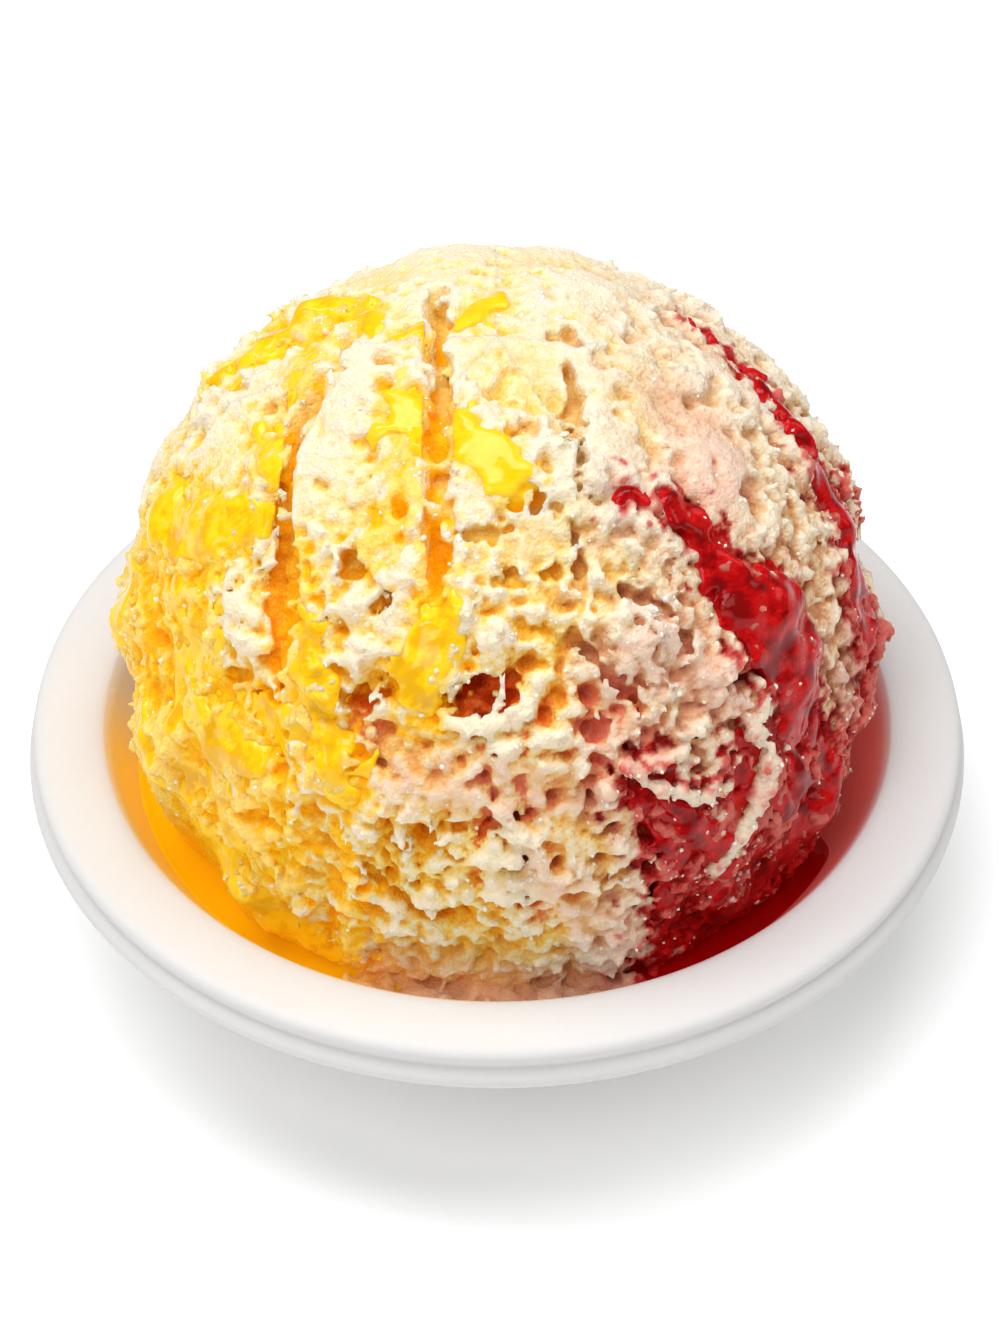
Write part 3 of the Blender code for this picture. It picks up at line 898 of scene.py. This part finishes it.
# The ice is cut into pieces by azimuth, in degrees.
ICE_SECTORS = {
    "ice_left": (180.0, 237.0),
    "ice_front": (237.0, 300.0),
    "ice_right": (300.0, 360.0),
    "ice_back_right": (0.0, 90.0),
    "ice_back_left": (90.0, 180.0),
}


def make_ice(shell, field):
    block = shell.whole(field)
    faces, points = keep_large(SMALLEST_MASS, *surface_of(shell, block))
    normals = point_normals(points, faces)
    marks = ice_marks(shell, block, points)
    finish = shaved_ice_finish()
    centres = points[faces].mean(axis=1)
    turn = np.degrees(np.arctan2(centres[:, 1], centres[:, 0])) % 360.0
    for name, (start, end) in ICE_SECTORS.items():
        chosen = faces[(turn >= start) & (turn < end)]
        own_faces, own_points, own_normals, *values = used_only(chosen, points, normals, *marks.values())
        own = dict(zip(marks, values))
        replaced = ("ice_ball",) if name == "ice_front" else ()
        make_piece(name, own_points, own_faces, finish, replaced, own, own_normals)
    return points, normals, marks, block


# ---------------- syrup that clings to the ice

# How deep in the ice the gel's surface is still kept, in mm.
SUNK_IN = 0.9


def make_gel(name, shell, slabs, fills, ice_block, proud, finish):
    """Syrup as a thick gel: slabs stand proud of the ice, and the rest only fills its hollows."""
    ragged = 0.6 * shell.cloud(cloud(2.8, 41))
    margin = shell.chart(painted(slabs)) + ragged
    height = 1.7 * smooth_step(margin, -0.6, 1.3) - 0.8 + 0.15 * shell.cloud(cloud(3.4, 42))
    gel = np.maximum(proud - height, -margin - 0.6)
    level = -0.35 + 0.3 * shell.cloud(cloud(5.0, 43))
    gel = np.minimum(gel, np.maximum(proud - level, -shell.chart(painted(fills)) - 2.0 * ragged))
    for thickness, route in STRANDS:
        gel = np.maximum(gel, thickness + 0.3 - route_gap(shell.points, route))
    for place, lean, half_width, stroke in FURROWS:
        inside = shell.chart(painted([stroke]))
        across = np.abs(furrow_gap(shell.points, place, lean))
        gel = np.maximum(gel, np.minimum(half_width + 0.2 - across, inside))
    gel = np.maximum(gel, -proud - 3.6)
    block = shell.whole(gel)
    block[shell.inner & ~shell.near] = OUTSIDE
    faces, points = surface_of(shell, block)
    normals = point_normals(points, faces)
    depth = shell.read(ice_block, points)
    near_air = (depth[faces] > -SUNK_IN).any(axis=1)
    faces, points, normals, depth = used_only(faces[near_air], points, normals, depth)
    faces, points, normals, depth = keep_large(SMALLEST_RUN, faces, points, normals, depth)
    make_piece(name, points, faces, finish, (), {"depth": depth}, normals)


# ---------------- loose crumbs and clear grains

# A lump's twelve corners, which are those of a regular solid with twenty sides.
LUMP_RISE = (1.0 + 5.0**0.5) / 2.0
LUMP_SIDES = list(itertools.product((-1.0, 1.0), (-LUMP_RISE, LUMP_RISE)))
LUMP_POINTS = np.array([corner for a, b in LUMP_SIDES for corner in ((0, a, b), (a, b, 0), (b, 0, a))])
LUMP_POINTS /= np.linalg.norm(LUMP_POINTS[0])


def hull_faces(points):
    """The three-sided faces of a round set of points, looking outwards."""
    found = []
    for corners in itertools.combinations(range(len(points)), 3):
        first, second, third = points[list(corners)]
        across = np.cross(second - first, third - first)
        reach = across @ first
        if abs(reach) > 1e-6 and (points @ across * np.sign(reach) <= abs(reach) + 1e-9).all():
            found.append(corners if reach > 0.0 else corners[::-1])
    return np.array(found)


def scatter(name, places, radii, squash, finish, marks, seed):
    """Small lumps, one at each place, each turned its own way and joined in one piece."""
    rng = np.random.default_rng(seed)
    faces = hull_faces(LUMP_POINTS)
    count = len(places)
    turns = np.linalg.qr(rng.standard_normal((count, 3, 3)))[0]
    shape = LUMP_POINTS[None] * rng.uniform(squash, 1.0, (count, 1, 3)) * radii[:, None, None]
    shape = shape * rng.uniform(0.8, 1.2, (count, len(LUMP_POINTS), 1))
    points = np.einsum("nij,nkj->nki", turns, shape) + places[:, None]
    turned_over = np.linalg.det(turns) < 0.0
    every = faces[None] + np.arange(count)[:, None, None] * len(LUMP_POINTS)
    every[turned_over] = every[turned_over][:, :, ::-1]
    own = {mark: np.repeat(values, len(LUMP_POINTS)) for mark, values in marks.items()}
    make_piece(name, points.reshape(-1, 3), every.reshape(-1, 3), finish, (), own)


CRUMB_COUNT = 1500
CLEAR_COUNT = 360


def scatter_on_ice(points, normals, marks):
    """Crumbs over all of the ice that stands out, and clear grains mostly in their own patches."""
    rng = np.random.default_rng(61)
    tries = 6 * CRUMB_COUNT
    pick = rng.choice(len(points), tries, replace=False)
    open_air = marks["hollow"][pick] < rng.uniform(0.2, 0.9, tries)
    chosen = pick[open_air & (points[pick, 2] > POOL_LEVEL + 3.0)][:CRUMB_COUNT]
    radii = rng.uniform(0.25, 0.6, len(chosen))
    places = points[chosen] + normals[chosen] * radii[:, None] * 0.35
    own = {mark: values[chosen] for mark, values in marks.items()}
    scatter("ice_crumbs", places, radii, 0.55, bpy.data.materials["shaved_ice"], own, 62)
    clear = read_chart(painted(GRAIN_PATCHES), *directions(points))
    likely = np.where(clear > 0.0, 1.0, 0.03) * (points[:, 2] > POOL_LEVEL + 4.0) * (marks["hollow"] < 0.5)
    chosen = rng.choice(len(points), CLEAR_COUNT, replace=False, p=likely / likely.sum())
    radii = rng.uniform(0.35, 0.8, len(chosen))
    places = points[chosen] + normals[chosen] * radii[:, None] * 0.6
    own = {mark: marks[mark][chosen] for mark in ("mango", "cherry")}
    scatter("clear_grains", places, radii, 0.8, clear_grain_finish(), own, 63)


# ---------------- bowl and pools

BOWL_SEGMENTS = 288
# The rim's outline, from its mouth over its rolled lip to its underside, as offsets from the lip's edge.
RIM_OFFSETS = (
    (-12.5, -0.72), (-11.8, -0.48), (-10.8, -0.34), (-9.0, -0.22), (-6.0, -0.08), (-3.4, 0.0),
    (-2.4, -0.08), (-1.7, -0.35), (-1.2, -0.85), (-0.95, -1.6), (-1.05, -2.4), (-1.5, -3.1),
    (-1.55, -3.6), (-1.05, -4.2), (-0.4, -4.9), (-0.05, -5.7), (0.0, -6.4), (-0.25, -6.9),
    (-0.9, -7.0), (-1.7, -6.6), (-2.3, -5.6), (-2.8, -3.4), (-3.4, -2.5), (-6.0, -2.5),
    (-9.4, -2.7),
)


def wall_radius(height):
    share = np.clip((height - FLOOR_HEIGHT) / (MOUTH_HEIGHT - FLOOR_HEIGHT), 0.0, None)
    return FLOOR_RADIUS + (MOUTH_RADIUS - FLOOR_RADIUS) * share**WALL_POWER


def bowl_outline():
    """The bowl's outline as (radius, height), from the middle of its floor out and round to its base."""
    heights = FLOOR_HEIGHT + (MOUTH_HEIGHT - FLOOR_HEIGHT) * np.linspace(0.0, 1.0, 29) ** 1.6
    inner = np.stack([wall_radius(heights), heights], axis=1)
    floor = [(radius, FLOOR_HEIGHT) for radius in (0.0, 9.0, 18.0, 25.0)]
    rim = [(RIM_RADIUS + out, RIM_HEIGHT + up) for out, up in RIM_OFFSETS]
    along = np.gradient(inner, axis=0)
    along /= np.linalg.norm(along, axis=1, keepdims=True)
    outer = inner + np.stack([along[:, 1], -along[:, 0]], axis=1) * WALL_THICKNESS
    outer = outer[(outer[:, 1] > FOOT_RECESS) & (outer[:, 1] < RIM_HEIGHT - 4.0)][::-1]
    foot = [
        (FOOT_OUTER_RADIUS + 0.4, 0.5),
        (FOOT_OUTER_RADIUS, 0.0),
        (FOOT_INNER_RADIUS, 0.0),
        (FOOT_INNER_RADIUS - 1.5, FOOT_RECESS),
        (12.0, FOOT_RECESS),
        (0.0, FOOT_RECESS),
    ]
    return np.array([*floor, *inner, *rim, *outer, *foot]), len(floor) + len(inner)


def turned(outline, segments):
    """Points and faces of an outline turned round Z. The outline starts and ends on the axis."""
    angles = np.linspace(0.0, 2.0 * math.pi, segments, endpoint=False)
    count = len(outline)
    points = np.empty((segments, count, 3))
    points[..., 0] = np.cos(angles)[:, None] * np.maximum(outline[:, 0], 0.02)
    points[..., 1] = np.sin(angles)[:, None] * np.maximum(outline[:, 0], 0.02)
    points[..., 2] = outline[:, 1]
    here = np.arange(segments)[:, None] * count + np.arange(count - 1)
    there = (np.arange(segments)[:, None] + 1) % segments * count + np.arange(count - 1)
    faces = np.stack([here, there, there + 1, here + 1], axis=-1).reshape(-1, 4)
    return points.reshape(-1, 3), faces


def make_bowl():
    outline, inner_count = bowl_outline()
    points, faces = turned(outline, BOWL_SEGMENTS)
    azimuth = np.degrees(np.arctan2(points[:, 1], points[:, 0])) % 360.0
    # The glow marks: the inner wall near each syrup gets a tint that is partly stain and partly painted
    # light, and a painted glow.
    within = np.tile(np.arange(len(outline)) < inner_count, BOWL_SEGMENTS)
    up = smooth_step(points[:, 2], POOL_LEVEL + 11.5, POOL_LEVEL + 4.5)
    left = smooth_step(azimuth, 165.0, 190.0) * (1.0 - smooth_step(azimuth, 255.0, 285.0))
    right = smooth_step(azimuth, 285.0, 300.0) + (1.0 - smooth_step(azimuth, 0.0, 25.0))
    marks = {"yellow_glow": within * up * left, "red_glow": within * up * np.clip(right, 0, 1) * 0.9}
    make_piece("bowl_pulp", points, faces, pulp_finish(), ("bowl",), marks)


# How much lower the pools are at the back, the height of their base, and how far they reach into the ice
# and the wall, in mm. Their cross-sections are a small turn apart, in degrees.
POOL_FALL = 8.5
POOL_BASE = 7.0
INTO_ICE = 1.5
INTO_WALL = 0.35
SECTION_TURN = 1.5


def make_pool(name, ends, fall, finish, replaced):
    """A pool lofted from one azimuth to another. Its level falls between the two azimuths of fall."""
    azimuths = np.linspace(*ends, round((ends[1] - ends[0]) / SECTION_TURN) + 1)
    sections = []
    for azimuth in azimuths:
        level = POOL_LEVEL - POOL_FALL * smooth_step(azimuth, *fall)
        heights = np.linspace(POOL_BASE, level, 14)
        drop = (MIDDLE - heights) / BALL_DROP
        ball_side = BALL_RADIUS * (1.0 - drop**LOWER_POWER) ** (1.0 / LOWER_POWER) - INTO_ICE
        wall_side = wall_radius(heights) + INTO_WALL
        across = np.linspace(0.0, 1.0, 13)[1:-1]
        top_radius = ball_side[-1] + (wall_side[-1] - ball_side[-1]) * across
        top_height = level + 0.7 * (np.exp(-across * 9.0) + np.exp((across - 1.0) * 9.0)) - 0.25
        radius = np.concatenate([ball_side, top_radius, wall_side[::-1]])
        height = np.concatenate([heights, top_height, heights[::-1]])
        turn = math.radians(azimuth)
        sections.append(np.stack([radius * math.cos(turn), radius * math.sin(turn), height], axis=1))
    points = np.concatenate(sections)
    side = len(sections[0])
    first = np.arange(len(azimuths) - 1)[:, None] * side + np.arange(side)
    after = np.arange(len(azimuths) - 1)[:, None] * side + (np.arange(side) + 1) % side
    faces = np.stack([first, after, after + side, first + side], axis=-1).reshape(-1, 4)
    caps = []
    for station, order in ((0, 1), ((len(azimuths) - 1) * side, -1)):
        for step in range(side // 2 - 1):
            across = station + side - 1 - step
            corners = (station + step, across, across - 1, station + step + 1)
            caps.append(corners[::order])
    faces = np.concatenate([faces, np.array(caps)])
    marks = {"depth": np.full(len(points), 1.4)}
    make_piece(name, points, faces, finish, replaced, marks, point_normals(points, faces))


# ---------------- stage

def make_stage():
    bpy.ops.mesh.primitive_plane_add(size=6.0)
    floor = bpy.context.object
    floor.name = "floor"
    paper = Finish("floor", Emission_Strength=0.1, Roughness=0.9)
    body = paper.colour(paper.noise(400.0), (0.975, 0.975, 0.975), (0.99, 0.99, 0.99))
    floor.data.materials.append(paper.finish(Base_Color=body, Emission_Color=body))
    world = bpy.data.worlds.new("studio")
    bpy.context.scene.world = world
    world.use_nodes = True
    sky = world.node_tree.nodes["Background"].inputs
    sky["Color"].default_value = (1.0, 1.0, 1.0, 1.0)
    sky["Strength"].default_value = 0.2
    bpy.context.scene.view_settings.view_transform = "Standard"
    add_light("overhead", (0.0, 0.0, 1.4), 0.9, 11.6)
    add_light("side", (0.65, -0.05, 0.7), 0.5, 1.4)
    add_light("key", (-0.5, 0.1, 0.95), 0.4, 2.8)
    add_light("front", (-0.35, -0.7, 0.85), 0.6, 3.8)


def add_light(name, place, size, power):
    light = bpy.data.lights.new(name, "AREA")
    light.size = size
    light.energy = power
    lamp = bpy.data.objects.new(name, light)
    lamp.location = place
    lamp.rotation_euler = (Vector((0.0, 0.0, 0.06)) - Vector(place)).to_track_quat("-Z", "Y").to_euler()
    bpy.context.scene.collection.objects.link(lamp)


def make_camera():
    distance, rise, pitch = 0.650, math.radians(43.6), math.radians(43.02)
    data = bpy.data.cameras.new("camera")
    data.lens = 103.4
    data.sensor_width = 36.0
    camera = bpy.data.objects.new("camera", data)
    camera.location = (0.0005, -distance * math.cos(rise), RIM_HEIGHT * MM + distance * math.sin(rise))
    camera.rotation_euler = (math.pi / 2.0 - pitch, 0.0, 0.0)
    bpy.context.scene.collection.objects.link(camera)
    bpy.context.scene.camera = camera


def main():
    make_camera()
    make_stage()
    make_bowl()
    shell = Shell()
    field, proud = carve_ice(shell)
    points, normals, marks, block = make_ice(shell, field)
    scatter_on_ice(points, normals, marks)
    yellows = (srgb(255, 208, 40), srgb(254, 198, 4), srgb(228, 172, 12))
    reds = (srgb(206, 18, 18), srgb(178, 3, 6), srgb(126, 0, 3))
    mango = syrup_finish("mango_syrup", *yellows, MANGO_GLOW, 0.3)
    cherry = syrup_finish("cherry_syrup", *reds, DARK, 0.08)
    make_gel("mango_gel", shell, MANGO_GEL, MANGO_FILL, block, proud, mango)
    make_gel("cherry_gel", shell, CHERRY_GEL, CHERRY_FILL, block, proud, cherry)
    make_pool("mango_syrup_pool", (96.0, 276.0), (150.0, 110.0), mango, ("mango_pool",))
    make_pool("cherry_syrup_pool", (276.0, 455.0), (332.0, 350.0), cherry, ("cherry_pool",))


main()
